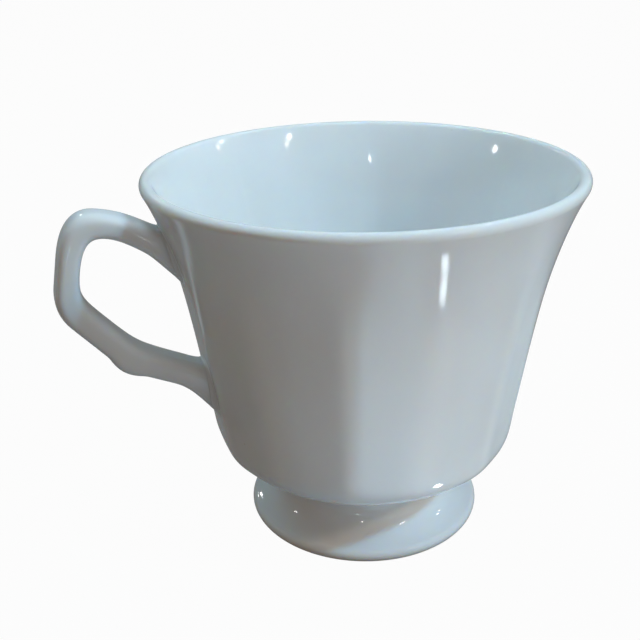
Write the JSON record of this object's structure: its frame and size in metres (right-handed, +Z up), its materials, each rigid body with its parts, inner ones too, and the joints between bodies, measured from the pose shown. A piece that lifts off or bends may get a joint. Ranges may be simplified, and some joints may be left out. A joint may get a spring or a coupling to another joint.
{
  "type": "footed tea cup",
  "caption": "Glazed porcelain tea cup with a panelled bowl flaring to a round rim, a spreading pedestal foot and a squared strap handle.",
  "frame": {"origin": "on the bowl's axis, in the plane of the foot ring that the cup stands on", "axes": "+Z up along the bowl's axis, -X from the axis towards the handle"},
  "size_m": [0.1085, 0.09, 0.0794],
  "materials": {
    "glaze": "gloss",
    "slip": "gloss"
  },
  "bodies": {
    "root": {"cup_body": "glaze", "pedestal_foot": "glaze", "foot_slip_seam": "slip", "handle": "glaze", "upper_handle_slip_seam": "slip", "lower_handle_slip_seam": "slip"}
  },
  "joints": []
}
